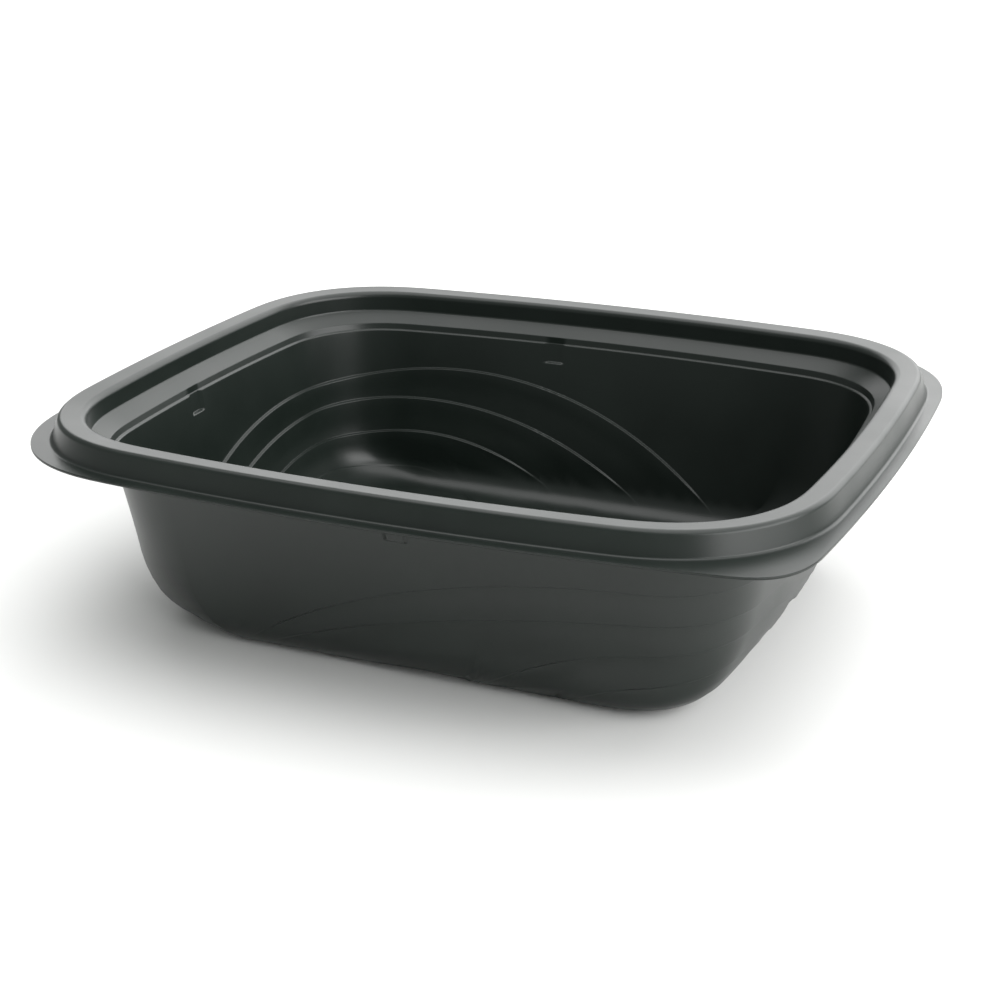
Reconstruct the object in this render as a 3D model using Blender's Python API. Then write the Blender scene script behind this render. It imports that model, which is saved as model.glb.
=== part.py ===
"""Takeaway meal tray, formed from one thin sheet of dark plastic.

The tray is a shallow bowed rectangle. Its sheet runs from a flat flange up over a raised rim,
down to a sloping lid ledge, over a small step and down a drafted side wall into a flat floor.
On two opposite corners the wall steps inward along rippling arcs, and the flange widens into
a peel tab. Small pockets under the step keep stacked trays apart.

Lengths are in metres. The origin is at the centre of the base, +X runs along the longer side
and +Z points up.
"""
import math

import bpy
import numpy as np

# Driving sizes of the rim, taken on its inner top edge
RIM_HALF_LENGTH = 0.0960
RIM_HALF_WIDTH = 0.0793
RIM_CORNER_REACH = 0.0310
CORNER_ROUNDNESS = 2.38
END_BOW = 0.0051
SIDE_BOW = 0.0074
RIM_HEIGHT = 0.0572
SHEET = 0.00064

# Cross section of the rim: outward offset from the inner edge, height from it, rounding
FLANGE_EDGE = (0.0119, -0.0054, 0.0)
RIM_FOOT = (0.0085, -0.0055, 0.0008)
RIM_TOP_OUTER = (0.0066, 0.0005, 0.0011)
RIM_TOP_INNER = (0.0000, 0.0000, 0.0011)
LEDGE_OUTER = (-0.0004, -0.0055, 0.0008)
LEDGE_INNER = (-0.0046, -0.0084, 0.0007)
STEP_FOOT = (-0.0051, -0.0101, 0.0003)
WALL_TOP = (-0.0058, -0.0103, 0.0)
RIM_SECTION = [FLANGE_EDGE, RIM_FOOT, RIM_TOP_OUTER, RIM_TOP_INNER]
RIM_SECTION += [LEDGE_OUTER, LEDGE_INNER, STEP_FOOT, WALL_TOP]

# Flange corners: how far a plain one reaches along the sides, and the two with a peel tab
PLAIN_FLANGE_REACH = 0.0378
TAB_REACH = 0.0176
TAB_DROOP = 0.0012

# Side wall: drafts, floor rounding and outline at the floor
END_DRAFT = math.radians(8.9)
SIDE_DRAFT = math.radians(13.5)
END_FLOOR_RADIUS = 0.0220
SIDE_FLOOR_RADIUS = 0.0095
FLOOR_END_BOW = 0.0036
FLOOR_SIDE_BOW = 0.0002
FLOOR_CUT_LENGTH = 0.0222
FLOOR_CUT_WIDTH = 0.0097
FLOOR_CUT_ROUNDNESS = 1.05
FLOOR_RIPPLE_REACH = 0.0148
CORNER_CHANGE = 1.2
FLOOR_CROWDING = 1.7

# Ripple arcs: each is where a ball, given by its centre and radius, cuts the wall
FRONT_RIGHT_BALLS = [(0.0611, -0.0384, -0.1462, 0.1842), (0.0868, -0.0597, -0.3083, 0.3359)]
FRONT_RIGHT_BALLS += [(0.0776, -0.0458, -0.0824, 0.1032), (0.0713, -0.0414, -0.0389, 0.0537)]
BACK_LEFT_BALLS = [(-0.0419, 0.0375, -0.0760, 0.1171), (-0.0539, 0.0434, -0.0877, 0.1169)]
BACK_LEFT_BALLS += [(-0.0545, 0.0402, -0.0566, 0.0773), (-0.0573, 0.0396, -0.0174, 0.0322)]
RIPPLE_STEP = 0.00062
RIPPLE_BLEND = 0.0040
RIPPLE_FADE = 0.0085

# Stacking pockets just under the step: wall, place along it, size
POCKETS = [("front", 0.0047), ("back", -0.0144), ("left", -0.0090), ("right", 0.0110)]
POCKET_WIDTH = 0.0052
POCKET_FLOOR = RIM_HEIGHT - 0.0158
POCKET_DEPTH = 0.0010
POCKET_BLEND = 0.0010

# How finely the solid is divided
CORNER_PARTS = 10
SIDE_STATIONS = 15
RIM_ROUND_POINTS = 2
WALL_RINGS = 10
HALF_SHELF = 0.012
SHARP_ANGLE = math.radians(32)


def smooth_step(value):
    """Rise from 0 to 1 as value goes from 0 to 1, level at both ends."""
    clipped = np.clip(value, 0.0, 1.0)
    return clipped * clipped * (3.0 - 2.0 * clipped)


def side_places(half_length, pockets):
    """Places along a side from -1 to 1: even ones, and the edges of its pockets."""
    places = list(np.linspace(-1.0, 1.0, SIDE_STATIONS + 1))
    for centre in pockets:
        reach = POCKET_WIDTH / 2.0 + POCKET_BLEND
        edges = [-reach, -POCKET_WIDTH / 2.0, POCKET_WIDTH / 2.0, reach]
        pocket_places = [(centre + edge) / half_length for edge in edges]
        places = [place for place in places if abs(place - centre / half_length) > 1.3 * reach / half_length]
        places += pocket_places
    return sorted(places)


def make_stations():
    """Walk once round the tray, counter-clockwise from the right side's front end.

    Each station has a kind (0 right or left side, 1 corner, 2 front or back side), the signs
    of x and y, and a place: how far along the half side, or the angle in the corner.
    """
    straight_x = RIM_HALF_LENGTH - RIM_CORNER_REACH
    straight_y = RIM_HALF_WIDTH - RIM_CORNER_REACH
    walls = {name: [place for wall, place in POCKETS if wall == name] for name, _ in POCKETS}
    angles = np.linspace(0.0, math.pi / 2.0, CORNER_PARTS + 1)[1:-1]
    table = []
    for place in side_places(straight_y, walls["right"]):
        table.append((0, 1, math.copysign(1, place), abs(place)))
    table += [(1, 1, 1, angle) for angle in angles]
    for place in reversed(side_places(straight_x, walls["back"])):
        table.append((2, math.copysign(1, place), 1, abs(place)))
    table += [(1, -1, 1, angle) for angle in reversed(angles)]
    for place in reversed(side_places(straight_y, walls["left"])):
        table.append((0, -1, math.copysign(1, place), abs(place)))
    table += [(1, -1, -1, angle) for angle in angles]
    for place in side_places(straight_x, walls["front"]):
        table.append((2, math.copysign(1, place), -1, abs(place)))
    table += [(1, 1, -1, angle) for angle in reversed(angles)]
    kind, sign_x, sign_y, place = np.array(table, dtype=float).T
    return {"kind": kind, "x": sign_x, "y": sign_y, "place": place, "ripple": sign_x * sign_y < 0}


def outline(stations, half_x, half_y, bow_x, bow_y, reach_x, reach_y, exponent):
    """Point of a bowed rectangle at each station.

    The sides are shallow parabolas. Between a side's end A and the next side's end B a corner
    runs from A to B inside their tangents' crossing Q: Q + (A - Q)(1 - sin^e) + (B - Q)(1 - cos^e),
    with e = 2 / exponent, which is round at 2, flows softly into the sides above it, and is a
    straight cut at 1.
    """
    corner_x = half_x
    corner_y = half_y
    for _ in range(4):
        corner_x = half_x - bow_x * (corner_y / half_y) ** 2
        corner_y = half_y - bow_y * (corner_x / half_x) ** 2
    end_y = corner_y - reach_y
    end_x = half_x - bow_x * (end_y / half_y) ** 2
    start_x = corner_x - reach_x
    start_y = half_y - bow_y * (start_x / half_x) ** 2
    slope_end = -2.0 * bow_x * end_y / half_y ** 2
    slope_start = -2.0 * bow_y * start_x / half_x ** 2
    cross_x = end_x + slope_end * (start_y - slope_start * start_x - end_y)
    cross_x = cross_x / (1.0 - slope_end * slope_start)
    cross_y = start_y + slope_start * (cross_x - start_x)
    place = stations["place"]
    kind = stations["kind"]
    weight_end = 1.0 - np.abs(np.sin(place)) ** (2.0 / exponent)
    weight_start = 1.0 - np.abs(np.cos(place)) ** (2.0 / exponent)
    x = cross_x + (end_x - cross_x) * weight_end + (start_x - cross_x) * weight_start
    y = cross_y + (end_y - cross_y) * weight_end + (start_y - cross_y) * weight_start
    x = np.where(kind == 0, half_x - bow_x * (end_y * place / half_y) ** 2, x)
    y = np.where(kind == 0, end_y * place, y)
    x = np.where(kind == 2, start_x * place, x)
    y = np.where(kind == 2, half_y - bow_y * (start_x * place / half_x) ** 2, y)
    return stations["x"] * x, stations["y"] * y


def rounded_section(section, points):
    """Profile of the rim with each inner corner replaced by an arc of its own radius."""
    profile = [section[0][:2]]
    for before, corner, after in zip(section, section[1:], section[2:]):
        tip = np.array(corner[:2])
        back = np.array(before[:2]) - tip
        ahead = np.array(after[:2]) - tip
        back /= np.linalg.norm(back)
        ahead /= np.linalg.norm(ahead)
        half_angle = math.acos(float(np.clip(back @ ahead, -1.0, 1.0))) / 2.0
        centre = tip + (back + ahead) / np.linalg.norm(back + ahead) * corner[2] / math.sin(half_angle)
        first = tip + back * corner[2] / math.tan(half_angle) - centre
        last = tip + ahead * corner[2] / math.tan(half_angle) - centre
        sweep = math.pi - 2.0 * half_angle
        for share in np.linspace(0.0, 1.0, points):
            part = (math.sin((1.0 - share) * sweep) * first + math.sin(share * sweep) * last) / math.sin(sweep)
            profile.append(tuple(centre + part))
    profile.append(section[-1][:2])
    return np.array(profile)


def rim_grid(stations):
    """Rings of the rim, from the flange edge to the top of the side wall."""
    profile = rounded_section(RIM_SECTION, RIM_ROUND_POINTS)
    offset = profile[:, 0:1]
    height = profile[:, 1:2]
    foot, edge = RIM_FOOT[0], FLANGE_EDGE[0]
    share = smooth_step((offset - foot) / (edge - foot))
    edge_reach = np.where(stations["ripple"], TAB_REACH, PLAIN_FLANGE_REACH)
    reach = RIM_CORNER_REACH + offset + share * (edge_reach - RIM_CORNER_REACH - edge)
    half_x = RIM_HALF_LENGTH + offset
    half_y = RIM_HALF_WIDTH + offset
    x, y = outline(stations, half_x, half_y, END_BOW, SIDE_BOW, reach, reach, CORNER_ROUNDNESS)
    in_corner = (stations["kind"] == 1) & stations["ripple"]
    droop = TAB_DROOP * share * np.where(in_corner, np.sin(2.0 * stations["place"]) ** 2, 0.0)
    z = RIM_HEIGHT + height - droop
    return np.stack([x, y, z * np.ones_like(x)], axis=-1)


def wall_inset(height, draft, radius):
    """How far a wall has come in at a height: a straight draft, then a round into the floor."""
    inner_radius = radius - SHEET
    top = RIM_HEIGHT + WALL_TOP[1]
    round_top = SHEET + inner_radius * (1.0 - math.sin(draft))
    straight = (top - np.maximum(height, round_top)) * math.tan(draft)
    sine = 1.0 - (np.minimum(height, round_top) - SHEET) / inner_radius
    sine = np.clip(sine, math.sin(draft), 1.0)
    return straight + inner_radius * (math.cos(draft) - np.sqrt(1.0 - sine * sine))


def wall_points(stations, path):
    """Plain side wall: path runs from 0 at its top to 1 where it meets the floor.

    The outline changes with depth: the bows flatten, the plain corners turn from round to
    cut and the ripple corners tighten.
    """
    top = RIM_HEIGHT + WALL_TOP[1]
    height = SHEET + (top - SHEET) * (1.0 - path) ** FLOOR_CROWDING
    depth = (top - height) / (top - SHEET)
    change = depth ** CORNER_CHANGE
    half_x = RIM_HALF_LENGTH + WALL_TOP[0] - wall_inset(height, END_DRAFT, END_FLOOR_RADIUS)
    half_y = RIM_HALF_WIDTH + WALL_TOP[0] - wall_inset(height, SIDE_DRAFT, SIDE_FLOOR_RADIUS)
    bow_x = END_BOW + (FLOOR_END_BOW - END_BOW) * depth
    bow_y = SIDE_BOW + (FLOOR_SIDE_BOW - SIDE_BOW) * depth
    top_reach = RIM_CORNER_REACH + WALL_TOP[0]
    ripple = stations["ripple"]
    floor_reach_x = np.where(ripple, FLOOR_RIPPLE_REACH, FLOOR_CUT_LENGTH)
    floor_reach_y = np.where(ripple, FLOOR_RIPPLE_REACH, FLOOR_CUT_WIDTH)
    floor_roundness = np.where(ripple, CORNER_ROUNDNESS, FLOOR_CUT_ROUNDNESS)
    reach_x = top_reach + (floor_reach_x - top_reach) * change
    reach_y = top_reach + (floor_reach_y - top_reach) * change
    exponent = CORNER_ROUNDNESS + (floor_roundness - CORNER_ROUNDNESS) * change
    x, y = outline(stations, half_x, half_y, bow_x, bow_y, reach_x, reach_y, exponent)
    return np.stack([x, y, height * np.ones_like(x)], axis=-1)


def ball_distances(points):
    """Distance of each point outside each pair of ripple balls, negative where it is inside."""
    distances = []
    for front, back in zip(FRONT_RIGHT_BALLS, BACK_LEFT_BALLS):
        from_front = np.linalg.norm(points - np.array(front[:3]), axis=-1) - front[3]
        from_back = np.linalg.norm(points - np.array(back[:3]), axis=-1) - back[3]
        distances.append(np.minimum(from_front, from_back))
    return distances


def wall_levels():
    """Path value of every wall ring: the pocket's shelf, then even steps to the floor."""
    share = (POCKET_FLOOR - SHEET) / (RIM_HEIGHT + WALL_TOP[1] - SHEET)
    shelf = 1.0 - share ** (1.0 / FLOOR_CROWDING)
    below = np.linspace(shelf + HALF_SHELF, 1.0, WALL_RINGS)
    return np.concatenate([[0.0, HALF_SHELF, shelf - HALF_SHELF], below])


def relief(points):
    """Height of the relief at each wall point, positive towards the inside of the tray.

    Every ripple ball adds one step to the wall inside it, faded out at the floor. A pocket
    is a shallow hollow pressed outward, closed below by a small shelf.
    """
    steps = [smooth_step(0.5 - distance / RIPPLE_BLEND) for distance in ball_distances(points)]
    fade = smooth_step((points[..., 2] - SHEET) / RIPPLE_FADE)
    height = RIPPLE_STEP * fade * np.sum(steps, axis=0)
    over_shelf = smooth_step((points[..., 2] - POCKET_FLOOR) / POCKET_BLEND + 0.5)
    below_top = smooth_step((RIM_HEIGHT + WALL_TOP[1] - points[..., 2]) / POCKET_BLEND)
    for wall, centre in POCKETS:
        along = 0 if wall in ("front", "back") else 1
        towards = {"front": (1, -1), "back": (1, 1), "left": (0, -1), "right": (0, 1)}[wall]
        on_wall = points[..., towards[0]] * towards[1] > 0.5 * (RIM_HALF_LENGTH, RIM_HALF_WIDTH)[towards[0]]
        side = np.abs(points[..., along] - centre) - POCKET_WIDTH / 2.0
        width = 1.0 - smooth_step(side / POCKET_BLEND)
        height = height - POCKET_DEPTH * width * over_shelf * below_top * on_wall
    return height


def inward_normals(grid):
    """Unit normals of a grid of rings, pointing to the inside of the tray."""
    along = np.roll(grid, -1, axis=1) - np.roll(grid, 1, axis=1)
    down = np.gradient(grid, axis=0)
    normals = np.cross(along, down)
    return normals / np.linalg.norm(normals, axis=-1, keepdims=True)


def sheet_grid():
    """All rings of the sheet's inner face, from the flange edge to the edge of the floor."""
    stations = make_stations()
    levels = wall_levels()[:, None] * np.ones(len(stations["kind"]))
    plain_wall = wall_points(stations, levels)
    wall = plain_wall + inward_normals(plain_wall) * relief(plain_wall)[..., None]
    return np.concatenate([rim_grid(stations)[:-1], wall])


def sheet_mesh(name, grid):
    """Mesh of the rings joined by quads, with the floor closed by a fan round its centre."""
    rings, count = grid.shape[:2]
    vertices = np.concatenate([grid.reshape(-1, 3), [[0.0, 0.0, grid[-1, 0, 2]]]])
    first = (np.arange(rings - 1)[:, None] * count + np.arange(count)).ravel()
    second = (np.arange(rings - 1)[:, None] * count + np.roll(np.arange(count), -1)).ravel()
    quads = np.stack([first, second, second + count, first + count], axis=1)
    last_ring = (rings - 1) * count + np.arange(count)
    fan = np.stack([last_ring, np.roll(last_ring, -1), np.full(count, rings * count)], axis=1)
    mesh = bpy.data.meshes.new(name)
    mesh.from_pydata(vertices.tolist(), [], quads.tolist() + fan.tolist())
    mesh.update()
    return mesh


def plastic(name):
    """Very dark, slightly green satin plastic."""
    material = bpy.data.materials.new(name)
    material.use_nodes = True
    shader = material.node_tree.nodes["Principled BSDF"]
    shader.inputs["Base Color"].default_value = (0.012, 0.016, 0.014, 1.0)
    shader.inputs["Roughness"].default_value = 0.34
    shader.inputs["Metallic"].default_value = 0.0
    return material


def make_tray():
    """The tray: its inner face, thickened outwards to the sheet's thickness."""
    mesh = sheet_mesh("tray", sheet_grid())
    mesh.materials.append(plastic("dark_plastic"))
    mesh.shade_smooth()
    mesh.set_sharp_from_angle(angle=SHARP_ANGLE)
    tray = bpy.data.objects.new("tray", mesh)
    bpy.context.scene.collection.objects.link(tray)
    thickness = tray.modifiers.new("sheet", "SOLIDIFY")
    thickness.thickness = SHEET
    thickness.offset = -1.0
    thickness.use_even_offset = True
    thickness.use_quality_normals = True
    return tray


for old in list(bpy.data.objects):
    bpy.data.objects.remove(old, do_unlink=True)
make_tray()
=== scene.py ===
"""Looks of a takeaway meal tray, formed from one thin sheet of very dark satin plastic.

The tray is one closed sheet: an inner face and an outer face worked out on a grid of rings
and stations. A ring goes once round the tray, and a station is a line from the flange edge,
over the rim and down the wall, to the middle of the floor.
"""
import math

import bpy
import numpy as np
from mathutils import Matrix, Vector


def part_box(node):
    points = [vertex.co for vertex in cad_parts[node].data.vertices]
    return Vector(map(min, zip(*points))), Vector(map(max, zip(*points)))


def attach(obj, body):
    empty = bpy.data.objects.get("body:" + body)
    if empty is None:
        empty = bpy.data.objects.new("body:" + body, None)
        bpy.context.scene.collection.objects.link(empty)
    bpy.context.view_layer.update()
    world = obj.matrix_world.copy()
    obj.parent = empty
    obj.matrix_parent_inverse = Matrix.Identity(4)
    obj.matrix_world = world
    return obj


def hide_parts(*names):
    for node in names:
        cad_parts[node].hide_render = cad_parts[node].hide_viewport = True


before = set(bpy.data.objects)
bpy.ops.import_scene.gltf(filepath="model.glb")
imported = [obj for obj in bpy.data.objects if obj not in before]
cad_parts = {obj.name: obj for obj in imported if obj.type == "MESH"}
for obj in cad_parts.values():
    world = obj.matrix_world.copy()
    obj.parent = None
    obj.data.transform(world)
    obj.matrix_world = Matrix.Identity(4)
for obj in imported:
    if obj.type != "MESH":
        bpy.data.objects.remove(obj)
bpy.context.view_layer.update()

LOW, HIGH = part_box("tray")

# Rim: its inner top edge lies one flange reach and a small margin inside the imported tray's box
FLANGE_REACH = 0.0119
EDGE_MARGIN = 0.00005
RIM_HALF_LENGTH = min(HIGH.x, -LOW.x) - FLANGE_REACH - EDGE_MARGIN
RIM_HALF_WIDTH = min(HIGH.y, -LOW.y) - FLANGE_REACH - EDGE_MARGIN
RIM_HEIGHT = LOW.z + 0.0572
RIM_CORNER_REACH = 0.0310
CORNER_ROUNDNESS = 2.38
END_BOW = 0.0051
SIDE_BOW = 0.0074
BOW_ROUNDS = 4
SHEET = 0.00064

# Cross section of the rim: outward offset from the inner edge, height from it, rounding
FLANGE_EDGE = (FLANGE_REACH, -0.0054, 0.0)
RIM_FOOT = (0.0085, -0.0055, 0.0008)
RIM_TOP_OUTER = (0.0066, 0.0005, 0.0014)
RIM_TOP_INNER = (0.0000, 0.0000, 0.0018)
LEDGE_OUTER = (-0.0004, -0.0055, 0.0008)
LEDGE_INNER = (-0.0046, -0.0084, 0.0006)
STEP_FOOT = (-0.0051, -0.0101, 0.0003)
WALL_TOP = (-0.0058, -0.0103, 0.0)
RIM_SECTION = [FLANGE_EDGE, RIM_FOOT, RIM_TOP_OUTER, RIM_TOP_INNER]
RIM_SECTION += [LEDGE_OUTER, LEDGE_INNER, STEP_FOOT, WALL_TOP]

# Flange corners: how far a plain one reaches along the sides, and the two with a peel tab
PLAIN_FLANGE_REACH = 0.0378
TAB_REACH = 0.0176
TAB_DROOP = 0.0004

# Side wall: drafts, floor rounding and outline at the floor
END_DRAFT = math.radians(8.9)
SIDE_DRAFT = math.radians(13.5)
END_FLOOR_RADIUS = 0.0220
SIDE_FLOOR_RADIUS = 0.0095
FLOOR_END_BOW = 0.0036
FLOOR_SIDE_BOW = 0.0002
FLOOR_CUT_LENGTH = 0.0222
FLOOR_CUT_WIDTH = 0.0097
FLOOR_CUT_ROUNDNESS = 1.05
FLOOR_RIPPLE_REACH = 0.0148

# How late the corners change on the way down, how the path slows near the floor and draws in on it
CORNER_CHANGE = 1.2
FLOOR_CROWDING = 1.7
FLOOR_SHRINK = 0.8

# Ripple arcs: each is where a ball, given by its centre and radius, cuts the wall
FRONT_RIGHT_BALLS = [(0.0611, -0.0384, -0.1462, 0.1842), (0.0868, -0.0597, -0.3083, 0.3359)]
FRONT_RIGHT_BALLS += [(0.0776, -0.0458, -0.0824, 0.1032), (0.0713, -0.0414, -0.0389, 0.0537)]
BACK_LEFT_BALLS = [(-0.0419, 0.0375, -0.0760, 0.1171), (-0.0539, 0.0434, -0.0877, 0.1169)]
BACK_LEFT_BALLS += [(-0.0545, 0.0402, -0.0566, 0.0773), (-0.0573, 0.0396, -0.0174, 0.0322)]

# A ripple's height and the width of its riser, then how far and over what width it eases back
RIPPLE_STEP = 0.0009
RIPPLE_BLEND = 0.0006
RIPPLE_RETURN = 0.00028
RETURN_WIDTH = 0.0065

# Where ripples fade out: by height above the floor, and beside the plain corners' diagonal
FADE_START = 0.0022
RIPPLE_FADE = 0.0130
DIAGONAL_START = 0.1
DIAGONAL_FADE = 0.4

# Stacking pockets just under the step: wall, place along it, size
POCKETS = [("front", 0.0047), ("back", -0.0144), ("left", -0.0090), ("right", 0.0110)]
POCKET_WIDTH = 0.0050
POCKET_FLOOR = RIM_HEIGHT - 0.0158
POCKET_DEPTH = 0.8 * (LEDGE_INNER[0] - WALL_TOP[0])
POCKET_BLEND = 0.0006

# Stations: spacing on a side, parts of a corner, and a cluster over each edge of a pocket
STATION_SPACING = 0.00155
CORNER_PARTS = 28
POCKET_EDGE_PLACES = (0.0, 0.33, 0.67, 1.0)
CLUSTER_CLEARANCE = 0.4 * STATION_SPACING

# Rings of the rim: points in a rounding, and the longest stretch between two rings
ROUND_POINTS = 5
LONGEST_SPAN = 0.0019

# Rings of the wall's top edge and of a pocket's floor, the latter in blend widths above it
EDGE_RING = 0.003
EDGE_RINGS = 4
POCKET_FLOOR_RINGS = (0.6, 0.25, 0.0, -0.25, -0.6)

# Rings above the ripples, at each riser in riser widths out from its ball, between and below them
UPPER_RINGS = 9
SHEAF = (0.8, 0.5, 0.32, 0.12, -0.12, -0.32, -0.5, -0.8)
BAND_PARTS = 3
LOWER_RINGS = 10
FLOOR_RING_SCALES = (0.5, 0.22)

# Search for the ripples down the path, and the soft limit that holds rings past the floor's edge
PATH_END = 1.34
PATH_SAMPLES = 260
SMALLEST_CHANGE = 1e-12
FIRST_CLAMP = 1.02
CLAMP_SPACING = 0.06
CLAMP_SOFTNESS = 0.010
LEVEL_SMOOTHING = 1

# Small steps for the normals: in place, in path, and in metres on the rim
PLACE_NUDGE = 0.0002
PATH_NUDGE = 0.0006
RIM_NUDGE = 0.00001

# Satin plastic: scales of its patterns per metre, and the ends of its colour and roughness
PLASTIC_REFRACTION = 1.5
CLOUD_SCALE = 45.0
CLOUD_DETAIL = 4.0
CLOUD_RANGE = (0.3, 0.7)
DARKER_COLOUR = (0.0060, 0.0098, 0.0078, 1.0)
LIGHTER_COLOUR = (0.0082, 0.0130, 0.0104, 1.0)
ROUGHNESS_RANGE = (0.31, 0.37)
GRAIN_SCALE = 2600.0
GRAIN_DETAIL = 2.0
GRAIN_STRENGTH = 0.12
GRAIN_HEIGHT = 0.00004

# Studio floor: half its size, its finish, and the gap that keeps it clear of the tray
STUDIO_FLOOR_HALF = 6.0
STUDIO_FLOOR_COLOUR = (0.88, 0.88, 0.87, 1.0)
STUDIO_FLOOR_ROUGHNESS = 0.8
STUDIO_FLOOR_SHINE = 0.2
STUDIO_FLOOR_GAP = 0.0002

# Camera: direction of view, distance to the rim's middle, and the frame's shift from it
CAMERA_AZIMUTH = math.radians(23.983)
CAMERA_ELEVATION = math.radians(21.156)
CAMERA_ROLL = math.radians(-0.551)
CAMERA_DISTANCE = 0.49968
CAMERA_ASIDE = -0.00039
CAMERA_DOWN = 0.03018
CAMERA_LENS = 67.925
CAMERA_SENSOR = 36.0
CAMERA_NEAR = 0.01

# Soft lights: name, azimuth, elevation, distance, width, height and radiance
LIGHTS = [("back_light", -3.0, 24.0, 2.2, 4.2, 1.5, 1.9)]
LIGHTS += [("back_right_light", 14.0, 24.0, 2.1, 1.9, 1.4, 1.0)]
LIGHTS += [("top_light", 20.0, 80.0, 1.8, 2.6, 2.6, 2.0)]
LIGHTS += [("right_light", 100.0, 27.0, 2.0, 2.6, 1.3, 4.4)]
WORLD_COLOUR = (0.93, 0.97, 0.95, 1.0)
WORLD_STRENGTH = 0.35


def smooth_step(value):
    """Rise from 0 to 1 with the value v, level at both ends: 3 v squared less 2 v cubed."""
    clipped = np.clip(value, 0.0, 1.0)
    return clipped * clipped * (3.0 - 2.0 * clipped)


def side_places(half_length, pockets):
    """Places along a side from -1 to 1: even ones, and a cluster at each pocket's edges."""
    places = np.linspace(-1.0, 1.0, int(2.0 * half_length / STATION_SPACING) + 1)
    for centre in pockets:
        edges = POCKET_WIDTH / 2.0 + POCKET_BLEND * np.array(POCKET_EDGE_PLACES)
        cluster = (centre + np.concatenate([-edges[::-1], edges])) / half_length
        nearest = np.abs(places[:, None] - cluster[None, :]).min(axis=1)
        places = np.concatenate([places[nearest > CLUSTER_CLEARANCE / half_length], cluster])
    return np.sort(places)


def make_stations():
    """Walk once round the tray, counter-clockwise from the right side's front end.

    Each station has a kind (0 right or left side, 1 corner, 2 front or back side), the signs
    of x and y, and a place: how far along the half side, or the angle in the corner. Its
    ripple is true in the two quarters with ripples, and its heading is 1 where place grows
    along the walk and -1 where it shrinks.
    """
    straight_x = RIM_HALF_LENGTH - RIM_CORNER_REACH
    straight_y = RIM_HALF_WIDTH - RIM_CORNER_REACH
    walls = {name: [place for wall, place in POCKETS if wall == name] for name, _ in POCKETS}
    right = side_places(straight_y, walls["right"])
    back = side_places(straight_x, walls["back"])[::-1]
    left = side_places(straight_y, walls["left"])[::-1]
    front = side_places(straight_x, walls["front"])
    angles = np.linspace(0.0, math.pi / 2.0, CORNER_PARTS + 1)[1:-1]
    walk = {1: angles, -1: angles[::-1]}
    runs = []
    runs.append((0, 1 + 0 * right, np.sign(right), np.abs(right), 1.0))
    runs.append((1, 1 + 0 * angles, 1 + 0 * angles, walk[1], 1.0))
    runs.append((2, np.sign(back), 1 + 0 * back, np.abs(back), -1.0))
    runs.append((1, -1 + 0 * angles, 1 + 0 * angles, walk[-1], -1.0))
    runs.append((0, -1 + 0 * left, np.sign(left), np.abs(left), -1.0))
    runs.append((1, -1 + 0 * angles, -1 + 0 * angles, walk[1], 1.0))
    runs.append((2, np.sign(front), -1 + 0 * front, np.abs(front), 1.0))
    runs.append((1, 1 + 0 * angles, -1 + 0 * angles, walk[-1], -1.0))
    kind = np.concatenate([np.full(len(run[3]), run[0]) for run in runs])
    sign_x = np.concatenate([np.where(run[1] == 0, 1, run[1]) for run in runs])
    sign_y = np.concatenate([np.where(run[2] == 0, 1, run[2]) for run in runs])
    place = np.concatenate([run[3] for run in runs])
    heading = np.concatenate([np.full(len(run[3]), run[4]) for run in runs])
    heading = heading * np.where(kind == 0, sign_y, np.where(kind == 2, sign_x, 1))
    ripple = sign_x * sign_y < 0
    stations = {"kind": kind, "x": sign_x, "y": sign_y}
    stations.update({"place": place, "ripple": ripple, "heading": heading})
    return stations


def nudged(stations, amount):
    """The same stations moved a little way on along the walk round the tray."""
    moved = dict(stations)
    moved["place"] = stations["place"] + stations["heading"] * amount
    return moved


def normals_of(surface, stations, path, step):
    """Unit normals of a surface towards the tray's inside.

    Each is the cross product of a small step along the surface and a small step down it.
    """
    ahead = surface(nudged(stations, PLACE_NUDGE), path)
    along = ahead - surface(nudged(stations, -PLACE_NUDGE), path)
    down = surface(stations, path + step) - surface(stations, path - step)
    normals = np.cross(along, down)
    return normals / np.linalg.norm(normals, axis=-1, keepdims=True)


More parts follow.
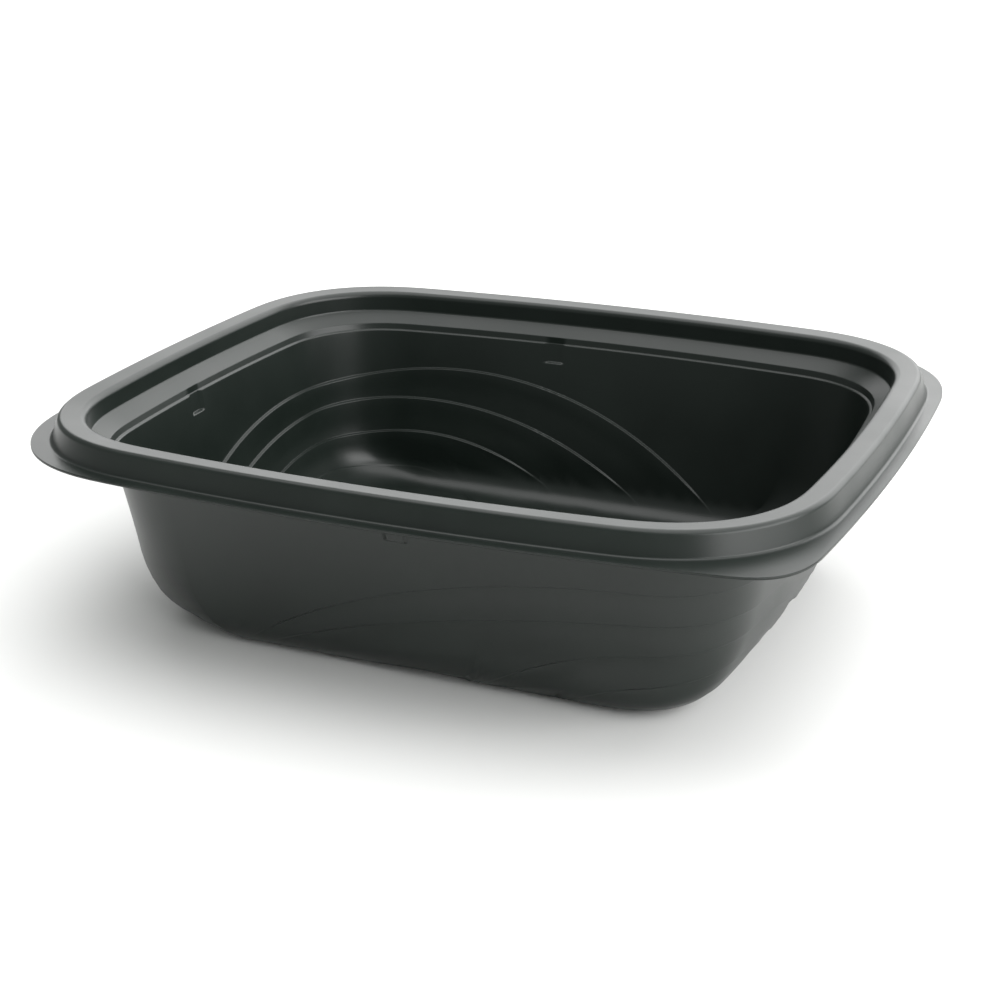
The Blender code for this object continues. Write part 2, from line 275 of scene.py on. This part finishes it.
def outline(stations, half_x, half_y, bow_x, bow_y, reach_x, reach_y, exponent):
    """Point of a bowed rectangle at each station.

    The sides are shallow parabolas. Between a side's end A and the next side's end B a corner
    runs from A to B inside their tangents' crossing Q: Q + (A - Q)(1 - sin^e) + (B - Q)(1 - cos^e),
    with e = 2 / exponent, which is round at 2, flows softly into the sides above it, and is a
    straight cut at 1.
    """
    corner_x = half_x
    corner_y = half_y
    for _ in range(BOW_ROUNDS):
        corner_x = half_x - bow_x * (corner_y / half_y) ** 2
        corner_y = half_y - bow_y * (corner_x / half_x) ** 2
    end_y = corner_y - reach_y
    end_x = half_x - bow_x * (end_y / half_y) ** 2
    start_x = corner_x - reach_x
    start_y = half_y - bow_y * (start_x / half_x) ** 2
    slope_end = -2.0 * bow_x * end_y / half_y ** 2
    slope_start = -2.0 * bow_y * start_x / half_x ** 2
    cross_x = end_x + slope_end * (start_y - slope_start * start_x - end_y)
    cross_x = cross_x / (1.0 - slope_end * slope_start)
    cross_y = start_y + slope_start * (cross_x - start_x)
    place = stations["place"]
    kind = stations["kind"]
    weight_end = 1.0 - np.abs(np.sin(place)) ** (2.0 / exponent)
    weight_start = 1.0 - np.abs(np.cos(place)) ** (2.0 / exponent)
    x = cross_x + (end_x - cross_x) * weight_end + (start_x - cross_x) * weight_start
    y = cross_y + (end_y - cross_y) * weight_end + (start_y - cross_y) * weight_start
    x = np.where(kind == 0, half_x - bow_x * (end_y * place / half_y) ** 2, x)
    y = np.where(kind == 0, end_y * place, y)
    x = np.where(kind == 2, start_x * place, x)
    y = np.where(kind == 2, half_y - bow_y * (start_x * place / half_x) ** 2, y)
    return stations["x"] * x, stations["y"] * y


def rounded_section(section):
    """Profile of the rim with each inner corner replaced by an arc, and its directions."""
    profile = [np.array(section[0][:2])]
    headings = [np.subtract(section[1][:2], section[0][:2])]
    for before, corner, after in zip(section, section[1:], section[2:]):
        tip = np.array(corner[:2])
        back = np.array(before[:2]) - tip
        ahead = np.array(after[:2]) - tip
        back /= np.linalg.norm(back)
        ahead /= np.linalg.norm(ahead)
        half_angle = math.acos(float(np.clip(back @ ahead, -1.0, 1.0))) / 2.0
        centre = tip + (back + ahead) / np.linalg.norm(back + ahead) * corner[2] / math.sin(half_angle)
        first = tip + back * corner[2] / math.tan(half_angle) - centre
        last = tip + ahead * corner[2] / math.tan(half_angle) - centre
        sweep = math.pi - 2.0 * half_angle
        share = np.linspace(0.0, 1.0, ROUND_POINTS)[:, None]
        arc = (np.sin((1.0 - share) * sweep) * first + np.sin(share * sweep) * last) / math.sin(sweep)
        profile += list(centre + arc)
        turning = (np.sin(share * sweep) * ahead - np.sin((1.0 - share) * sweep) * back) / math.sin(sweep)
        headings += list(turning)
    profile.append(np.array(section[-1][:2]))
    headings.append(np.subtract(section[-1][:2], section[-2][:2]))
    headings = np.array(headings)
    return divided(np.array(profile), headings / np.linalg.norm(headings, axis=1, keepdims=True))


def divided(profile, headings):
    """The same profile and directions with long straight stretches cut into shorter ones."""
    lengths = np.linalg.norm(np.diff(profile, axis=0), axis=1)
    counts = np.maximum(np.ceil(lengths / LONGEST_SPAN).astype(int), 1)
    travelled = np.concatenate([[0.0], np.cumsum(lengths)])
    spans = zip(travelled, travelled[1:], counts)
    stops = [np.linspace(start, end, parts, endpoint=False) for start, end, parts in spans]
    stops = np.concatenate(stops + [travelled[-1:]])
    columns = np.concatenate([profile, headings], axis=1).T
    return np.stack([np.interp(stops, travelled, column) for column in columns], axis=1)


def rim_points(stations, offset, height):
    """Plain rim at an outward offset and a height from its inner edge.

    A corner's reach grows with the offset, and on the flange it turns smoothly into the
    flange corner's own. A tab droops there too, most in the middle of its corner.
    """
    foot, edge = RIM_FOOT[0], FLANGE_EDGE[0]
    share = smooth_step((offset - foot) / (edge - foot))
    edge_reach = np.where(stations["ripple"], TAB_REACH, PLAIN_FLANGE_REACH)
    reach = RIM_CORNER_REACH + offset + share * (edge_reach - RIM_CORNER_REACH - edge)
    half_x = RIM_HALF_LENGTH + offset
    half_y = RIM_HALF_WIDTH + offset
    x, y = outline(stations, half_x, half_y, END_BOW, SIDE_BOW, reach, reach, CORNER_ROUNDNESS)
    in_corner = (stations["kind"] == 1) & stations["ripple"]
    droop = TAB_DROOP * share * np.where(in_corner, np.sin(2.0 * stations["place"]) ** 2, 0.0)
    z = RIM_HEIGHT + height - droop
    return np.stack([x, y, z * np.ones_like(x)], axis=-1)


def rim_face(stations):
    """Rings of the rim from the flange edge to the top of the side wall.

    Gives the points, their plain normals and the normals with the pockets' sides.
    """
    offset, height, offset_heading, height_heading = np.hsplit(rounded_section(RIM_SECTION), 4)

    def plain(walked, travel):
        return rim_points(walked, offset + travel * offset_heading, height + travel * height_heading)

    def pressed(walked, travel):
        points = plain(walked, travel)
        depth = np.clip(LEDGE_INNER[0] - offset - travel * offset_heading, 0.0, POCKET_DEPTH)
        return points + pocket_shift(points, depth)

    plain_normals = normals_of(plain, stations, 0.0, RIM_NUDGE)
    return pressed(stations, 0.0), plain_normals, normals_of(pressed, stations, 0.0, RIM_NUDGE)


def wall_inset(height, draft, radius):
    """How far a wall has come in at a height: a straight draft, then a round into the floor."""
    inner_radius = radius - SHEET
    top = RIM_HEIGHT + WALL_TOP[1]
    round_top = SHEET + inner_radius * (1.0 - math.sin(draft))
    straight = (top - np.maximum(height, round_top)) * math.tan(draft)
    sine = 1.0 - (np.minimum(height, round_top) - SHEET) / inner_radius
    sine = np.clip(sine, math.sin(draft), 1.0)
    return straight + inner_radius * (math.cos(draft) - np.sqrt(1.0 - sine * sine))


def wall_points(stations, path):
    """Plain side wall and floor: path is 0 at the wall's top, 1 at the floor's edge, then more.

    The outline changes with depth: the bows flatten, the plain corners turn from round to
    cut and the ripple corners tighten. Past 1 the floor's edge shrinks towards the middle.
    """
    top = RIM_HEIGHT + WALL_TOP[1]
    height = SHEET + (top - SHEET) * np.clip(1.0 - path, 0.0, 1.0) ** FLOOR_CROWDING
    depth = (top - height) / (top - SHEET)
    change = depth ** CORNER_CHANGE
    half_x = RIM_HALF_LENGTH + WALL_TOP[0] - wall_inset(height, END_DRAFT, END_FLOOR_RADIUS)
    half_y = RIM_HALF_WIDTH + WALL_TOP[0] - wall_inset(height, SIDE_DRAFT, SIDE_FLOOR_RADIUS)
    bow_x = END_BOW + (FLOOR_END_BOW - END_BOW) * depth
    bow_y = SIDE_BOW + (FLOOR_SIDE_BOW - SIDE_BOW) * depth
    top_reach = RIM_CORNER_REACH + WALL_TOP[0]
    ripple = stations["ripple"]
    floor_reach_x = np.where(ripple, FLOOR_RIPPLE_REACH, FLOOR_CUT_LENGTH)
    floor_reach_y = np.where(ripple, FLOOR_RIPPLE_REACH, FLOOR_CUT_WIDTH)
    floor_roundness = np.where(ripple, CORNER_ROUNDNESS, FLOOR_CUT_ROUNDNESS)
    reach_x = top_reach + (floor_reach_x - top_reach) * change
    reach_y = top_reach + (floor_reach_y - top_reach) * change
    exponent = CORNER_ROUNDNESS + (floor_roundness - CORNER_ROUNDNESS) * change
    x, y = outline(stations, half_x, half_y, bow_x, bow_y, reach_x, reach_y, exponent)
    shrink = 1.0 - FLOOR_SHRINK * np.maximum(path - 1.0, 0.0)
    return np.stack([x * shrink, y * shrink, height * np.ones_like(x)], axis=-1)


def ball_distances(points):
    """Distance outside each ripple ball of the nearer rippled corner, negative inside it."""
    distances = []
    nearer_front = points[..., 0] / RIM_HALF_LENGTH > points[..., 1] / RIM_HALF_WIDTH
    for front, back in zip(FRONT_RIGHT_BALLS, BACK_LEFT_BALLS):
        from_front = np.linalg.norm(points - np.array(front[:3]), axis=-1) - front[3]
        from_back = np.linalg.norm(points - np.array(back[:3]), axis=-1) - back[3]
        distances.append(np.where(nearer_front, from_front, from_back))
    return distances


def first_crossing(samples, distance, level):
    """Path value where the distance first falls below a level, at each station."""
    below = distance < level
    after = np.clip(np.argmax(below, axis=0), 1, len(samples) - 1)
    outside = np.take_along_axis(distance, after[None, :] - 1, axis=0)[0]
    inside = np.take_along_axis(distance, after[None, :], axis=0)[0]
    share = (outside - level) / (outside - inside + SMALLEST_CHANGE)
    crossing = samples[after - 1] + (samples[after] - samples[after - 1]) * np.clip(share, 0.0, 1.0)
    return np.where(below.any(axis=0), crossing, samples[-1])


def wall_levels(stations):
    """Path value of every wall ring at every station.

    The rings first shape the wall's top edge and the pockets, then run on evenly to the first
    ripple. Each ripple has a sheaf of rings along its riser, and a few between it and the
    next. Where a ripple has run out over the floor, a soft limit holds its rings there, and
    the levels are averaged with their neighbours', so that the rings stay smooth.
    """
    count = len(stations["kind"])
    samples = np.linspace(0.0, PATH_END, PATH_SAMPLES)
    distances = ball_distances(wall_points(stations, samples[:, None] * np.ones(count)))
    top = RIM_HEIGHT + WALL_TOP[1]
    heights = POCKET_FLOOR + POCKET_BLEND * np.array(POCKET_FLOOR_RINGS)
    shelf = 1.0 - ((heights - SHEET) / (top - SHEET)) ** (1.0 / FLOOR_CROWDING)
    edge = np.linspace(EDGE_RING, shelf[0], EDGE_RINGS, endpoint=False)
    fixed = np.concatenate([[0.0], edge, shelf])
    levels = [np.full(count, value) for value in fixed]
    sheaves = []
    for order, distance in enumerate(distances):
        for step, offset in enumerate(SHEAF):
            clamp = FIRST_CLAMP + CLAMP_SPACING * (order + step / len(SHEAF) / 2.0)
            crossing = first_crossing(samples, distance, offset * RIPPLE_BLEND)
            level = -CLAMP_SOFTNESS * np.logaddexp(-crossing / CLAMP_SOFTNESS, -clamp / CLAMP_SOFTNESS)
            padded = np.concatenate([level[-LEVEL_SMOOTHING:], level, level[:LEVEL_SMOOTHING]])
            kernel = np.hanning(2 * LEVEL_SMOOTHING + 3)[1:-1]
            sheaves.append(np.convolve(padded, kernel / kernel.sum(), mode="valid"))
    shares = np.linspace(0.0, 1.0, UPPER_RINGS + 2)[1:-1]
    levels += [levels[-1] + (sheaves[0] - levels[-1]) * share for share in shares]
    for order in range(len(distances)):
        sheaf = sheaves[order * len(SHEAF):(order + 1) * len(SHEAF)]
        if order > 0:
            last = levels[-1]
            shares = np.linspace(0.0, 1.0, BAND_PARTS + 2)[1:-1]
            levels += [last + (sheaf[0] - last) * share for share in shares]
        levels += sheaf
    last = levels[-1]
    shares = np.linspace(0.0, 1.0, LOWER_RINGS + 1)[1:]
    levels += [last + (PATH_END - last) * share for share in shares]
    return np.maximum.accumulate(np.array(levels), axis=0)


def ripple_relief(points):
    """Steps of the wall at the ripple balls, summed, and faded out at the floor.

    At each ball the wall steps inward, then eases back a little over the next few millimetres.
    The steps also fade out towards the diagonal through the two plain corners.
    """
    height = 0.0
    for distance in ball_distances(points):
        rise = smooth_step(0.5 - distance / RIPPLE_BLEND)
        ease = smooth_step(-(distance + RIPPLE_BLEND / 2.0) / RETURN_WIDTH)
        height = height + RIPPLE_STEP * rise - RIPPLE_RETURN * ease
    diagonal = np.abs(points[..., 0] / RIM_HALF_LENGTH - points[..., 1] / RIM_HALF_WIDTH)
    near_corner = smooth_step((diagonal - DIAGONAL_START) / DIAGONAL_FADE)
    return height * near_corner * smooth_step((points[..., 2] - SHEET - FADE_START) / RIPPLE_FADE)


def pocket_shift(points, depth):
    """Outward shift of the points that lie in a stacking pocket, by the depth given there."""
    shift = np.zeros_like(points)
    over_shelf = smooth_step((points[..., 2] - POCKET_FLOOR) / POCKET_BLEND + 0.5)
    for wall, centre in POCKETS:
        along = 0 if wall in ("front", "back") else 1
        across = 1 - along
        sign = 1.0 if wall in ("back", "right") else -1.0
        half = (RIM_HALF_LENGTH, RIM_HALF_WIDTH)[across]
        on_wall = points[..., across] * sign > 0.5 * half
        side = np.abs(points[..., along] - centre) - POCKET_WIDTH / 2.0
        width = 1.0 - smooth_step(side / POCKET_BLEND)
        shift[..., across] += sign * depth * width * over_shelf * on_wall
    return shift


def wall_face(stations, path):
    """Wall with its ripples laid on along the plain wall's normals, and its pockets pressed out."""
    plain = wall_points(stations, path)
    normals = normals_of(wall_points, stations, path, PATH_NUDGE)
    moved = plain + normals * ripple_relief(plain)[..., None]
    return moved + pocket_shift(plain, POCKET_DEPTH * np.ones(plain.shape[:2]))


def tray_faces():
    """Inner face and outer face of the sheet, and the normals of the inner one with its relief.

    The outer face lies one sheet's thickness away along the plain normals, so ripples and
    pockets show on both faces alike, as a forming tool makes them. The normals at the wall's
    top edge are halfway between the rim's and those of the wall a little below that edge.
    """
    stations = make_stations()
    rim, rim_plain, rim_normals = rim_face(stations)
    levels = wall_levels(stations)
    wall = wall_face(stations, levels)
    wall_plain = normals_of(wall_points, stations, levels, PATH_NUDGE)
    below_edge = np.maximum(levels, 2.0 * PATH_NUDGE)
    wall_normals = normals_of(wall_face, stations, below_edge, PATH_NUDGE)
    edge_normals = rim_normals[-1] + wall_normals[0]
    wall_normals[0] = edge_normals / np.linalg.norm(edge_normals, axis=-1, keepdims=True)
    edge_plain = rim_plain[-1] + wall_plain[0]
    wall_plain[0] = edge_plain / np.linalg.norm(edge_plain, axis=-1, keepdims=True)
    inner = np.concatenate([rim[:-1], wall])
    plain = np.concatenate([rim_plain[:-1], wall_plain])
    return inner, inner - plain * SHEET, np.concatenate([rim_normals[:-1], wall_normals])


def sheet_rings(inner, outer, normals):
    """All rings of the closed sheet and their normals, from under the floor round to its top.

    Each face goes on over the floor with its last ring drawn in towards the middle. One ring
    halfway between the faces closes the flange's flat edge. Its normals point straight out,
    so that the edge shades as a soft round. The outer face takes the inner one's, turned.
    """
    floor_rings = [inner[-1] * [scale, scale, 1.0] for scale in FLOOR_RING_SCALES]
    under_rings = [outer[-1] * [scale, scale, 1.0] for scale in FLOOR_RING_SCALES]
    middle = 0.5 * (inner[0] + outer[0])
    upper = np.concatenate([inner, floor_rings])
    lower = np.concatenate([outer, under_rings])
    outward = np.cross(middle - np.roll(middle, 1, axis=0), inner[0] - outer[0])
    outward /= np.linalg.norm(outward, axis=-1, keepdims=True)
    level_up = np.broadcast_to([0.0, 0.0, 1.0], (len(floor_rings), len(middle), 3))
    up_normals = np.concatenate([normals, level_up])
    rings = np.concatenate([lower[::-1], middle[None], upper])
    return rings, np.concatenate([-up_normals[::-1], outward[None], up_normals])


def sheet_faces(total, count):
    """Corners and sizes of the faces: a square between neighbours, and a fan at either end."""
    here = np.arange(count)
    following = np.roll(here, -1)
    start = (np.arange(total - 1) * count)[:, None]
    after = start + count
    quads = np.stack([start + here, start + following, after + following, after + here], axis=-1)
    last = (total - 1) * count
    bottom_fan = np.stack([following, here, np.full(count, total * count)], axis=1)
    top_fan = np.stack([last + here, last + following, np.full(count, total * count + 1)], axis=1)
    corners = np.concatenate([quads.ravel(), bottom_fan.ravel(), top_fan.ravel()])
    sizes = np.concatenate([np.full((total - 1) * count, 4), np.full(2 * count, 3)])
    return corners.astype(np.int32), sizes


def closed_sheet(name, inner, outer, normals):
    """One closed mesh of the sheet's rings, with a tip in the middle of each floor face.

    Each vertex keeps the normal worked out for it.
    """
    rings, ring_normals = sheet_rings(inner, outer, normals)
    tips = [[0.0, 0.0, rings[0, 0, 2]], [0.0, 0.0, rings[-1, 0, 2]]]
    tip_normals = [[0.0, 0.0, -1.0], [0.0, 0.0, 1.0]]
    vertices = np.concatenate([rings.reshape(-1, 3), tips])
    vertex_normals = np.concatenate([ring_normals.reshape(-1, 3), tip_normals])
    corners, sizes = sheet_faces(*rings.shape[:2])
    starts = np.concatenate([[0], np.cumsum(sizes)[:-1]]).astype(np.int32)
    mesh = bpy.data.meshes.new(name)
    mesh.vertices.add(len(vertices))
    mesh.vertices.foreach_set("co", vertices.astype(np.float32).ravel())
    mesh.loops.add(len(corners))
    mesh.loops.foreach_set("vertex_index", corners)
    mesh.polygons.add(len(starts))
    mesh.polygons.foreach_set("loop_start", starts)
    mesh.update(calc_edges=True)
    mesh.validate()
    mesh.shade_smooth()
    mesh.normals_split_custom_set_from_vertices(vertex_normals.tolist())
    return mesh


def add_object(name, data):
    """Link a mesh, a camera or a light to the scene as an object at the origin."""
    thing = bpy.data.objects.new(name, data)
    bpy.context.scene.collection.objects.link(thing)
    return thing


def aim_object(thing, right, up, back, place):
    """Put a camera or a light at a place, with its right, its up, and what lies behind it."""
    turned = np.eye(4)
    turned[:3, 0] = right
    turned[:3, 1] = up
    turned[:3, 2] = back
    turned[:3, 3] = place
    thing.matrix_world = Matrix(turned.tolist())


def add_noise(tree, coordinates, scale, detail):
    """Noise on the tray's own coordinates."""
    noise = tree.nodes.new("ShaderNodeTexNoise")
    noise.inputs["Scale"].default_value = scale
    noise.inputs["Detail"].default_value = detail
    tree.links.new(coordinates.outputs["Object"], noise.inputs["Vector"])
    return noise


def satin_plastic():
    """Very dark greenish sheet with a satin finish.

    Faint cloudy patches shift its colour and its gloss a little, and a fine grain gives the
    satin its bite.
    """
    material = bpy.data.materials.new("satin_plastic")
    material.use_nodes = True
    tree = material.node_tree
    shader = tree.nodes["Principled BSDF"]
    shader.inputs["IOR"].default_value = PLASTIC_REFRACTION
    coordinates = tree.nodes.new("ShaderNodeTexCoord")
    cloud = add_noise(tree, coordinates, CLOUD_SCALE, CLOUD_DETAIL)
    grain = add_noise(tree, coordinates, GRAIN_SCALE, GRAIN_DETAIL)
    colour = tree.nodes.new("ShaderNodeValToRGB")
    darker, lighter = colour.color_ramp.elements
    darker.position, lighter.position = CLOUD_RANGE
    darker.color = DARKER_COLOUR
    lighter.color = LIGHTER_COLOUR
    tree.links.new(cloud.outputs["Fac"], colour.inputs["Fac"])
    tree.links.new(colour.outputs["Color"], shader.inputs["Base Color"])
    gloss = tree.nodes.new("ShaderNodeMapRange")
    gloss.inputs["From Min"].default_value = CLOUD_RANGE[0]
    gloss.inputs["From Max"].default_value = CLOUD_RANGE[1]
    gloss.inputs["To Min"].default_value = ROUGHNESS_RANGE[0]
    gloss.inputs["To Max"].default_value = ROUGHNESS_RANGE[1]
    tree.links.new(cloud.outputs["Fac"], gloss.inputs["Value"])
    tree.links.new(gloss.outputs["Result"], shader.inputs["Roughness"])
    bump = tree.nodes.new("ShaderNodeBump")
    bump.inputs["Strength"].default_value = GRAIN_STRENGTH
    bump.inputs["Distance"].default_value = GRAIN_HEIGHT
    tree.links.new(grain.outputs["Fac"], bump.inputs["Height"])
    tree.links.new(bump.outputs["Normal"], shader.inputs["Normal"])
    return material


def pale_floor():
    """Wide plain floor in a pale matt finish, just under the tray."""
    half = STUDIO_FLOOR_HALF
    corners = [(-half, -half, 0), (half, -half, 0), (half, half, 0), (-half, half, 0)]
    mesh = bpy.data.meshes.new("pale_floor")
    mesh.from_pydata(corners, [], [(0, 1, 2, 3)])
    material = bpy.data.materials.new("pale_floor")
    material.use_nodes = True
    shader = material.node_tree.nodes["Principled BSDF"]
    shader.inputs["Base Color"].default_value = STUDIO_FLOOR_COLOUR
    shader.inputs["Roughness"].default_value = STUDIO_FLOOR_ROUGHNESS
    shader.inputs["Specular IOR Level"].default_value = STUDIO_FLOOR_SHINE
    mesh.materials.append(material)
    floor = add_object("pale_floor", mesh)
    floor.location.z = LOW.z - STUDIO_FLOOR_GAP


def photo_camera():
    """Camera at the photograph's viewing angle, aimed past the middle of the rim."""
    sine_a, cosine_a = math.sin(CAMERA_AZIMUTH), math.cos(CAMERA_AZIMUTH)
    sine_e, cosine_e = math.sin(CAMERA_ELEVATION), math.cos(CAMERA_ELEVATION)
    back = np.array([sine_a * cosine_e, -cosine_a * cosine_e, sine_e])
    level = np.array([cosine_a, sine_a, 0.0])
    up = np.cross(back, level)
    right = math.cos(CAMERA_ROLL) * level + math.sin(CAMERA_ROLL) * up
    top = -math.sin(CAMERA_ROLL) * level + math.cos(CAMERA_ROLL) * up
    place = np.array([0.0, 0.0, RIM_HEIGHT]) + back * CAMERA_DISTANCE
    place = place + right * CAMERA_ASIDE - top * CAMERA_DOWN
    data = bpy.data.cameras.new("camera")
    data.lens = CAMERA_LENS
    data.sensor_width = CAMERA_SENSOR
    data.clip_start = CAMERA_NEAR
    camera = add_object("camera", data)
    aim_object(camera, right, top, back, place)
    bpy.context.scene.camera = camera


def soft_light(name, azimuth, elevation, distance, width, height, radiance):
    """Rectangular light that faces the tray. Azimuth 0 is behind it, 90 to its right.

    Its power is its radiance times its area times pi.
    """
    turn = math.radians(azimuth)
    lift = math.radians(elevation)
    level_x, level_y = math.sin(turn), math.cos(turn)
    away = np.array([level_x * math.cos(lift), level_y * math.cos(lift), math.sin(lift)])
    aside = np.array([level_y, -level_x, 0.0])
    data = bpy.data.lights.new(name, "AREA")
    data.shape = "RECTANGLE"
    data.size = width
    data.size_y = height
    data.energy = radiance * width * height * math.pi
    place = away * distance + np.array([0.0, 0.0, RIM_HEIGHT])
    aim_object(add_object(name, data), -aside, np.cross(away, -aside), away, place)


def studio():
    """Soft white studio: lights behind, above and on the right, and a dim glow all round."""
    world = bpy.data.worlds.new("studio")
    world.use_nodes = True
    background = world.node_tree.nodes["Background"]
    background.inputs["Color"].default_value = WORLD_COLOUR
    background.inputs["Strength"].default_value = WORLD_STRENGTH
    bpy.context.scene.world = world
    for light in LIGHTS:
        soft_light(*light)


tray = add_object("tray_sheet", closed_sheet("tray_sheet", *tray_faces()))
tray.data.materials.append(satin_plastic())
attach(tray, "root")
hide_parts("tray")
pale_floor()
photo_camera()
studio()
bpy.context.scene.view_settings.view_transform = "Standard"
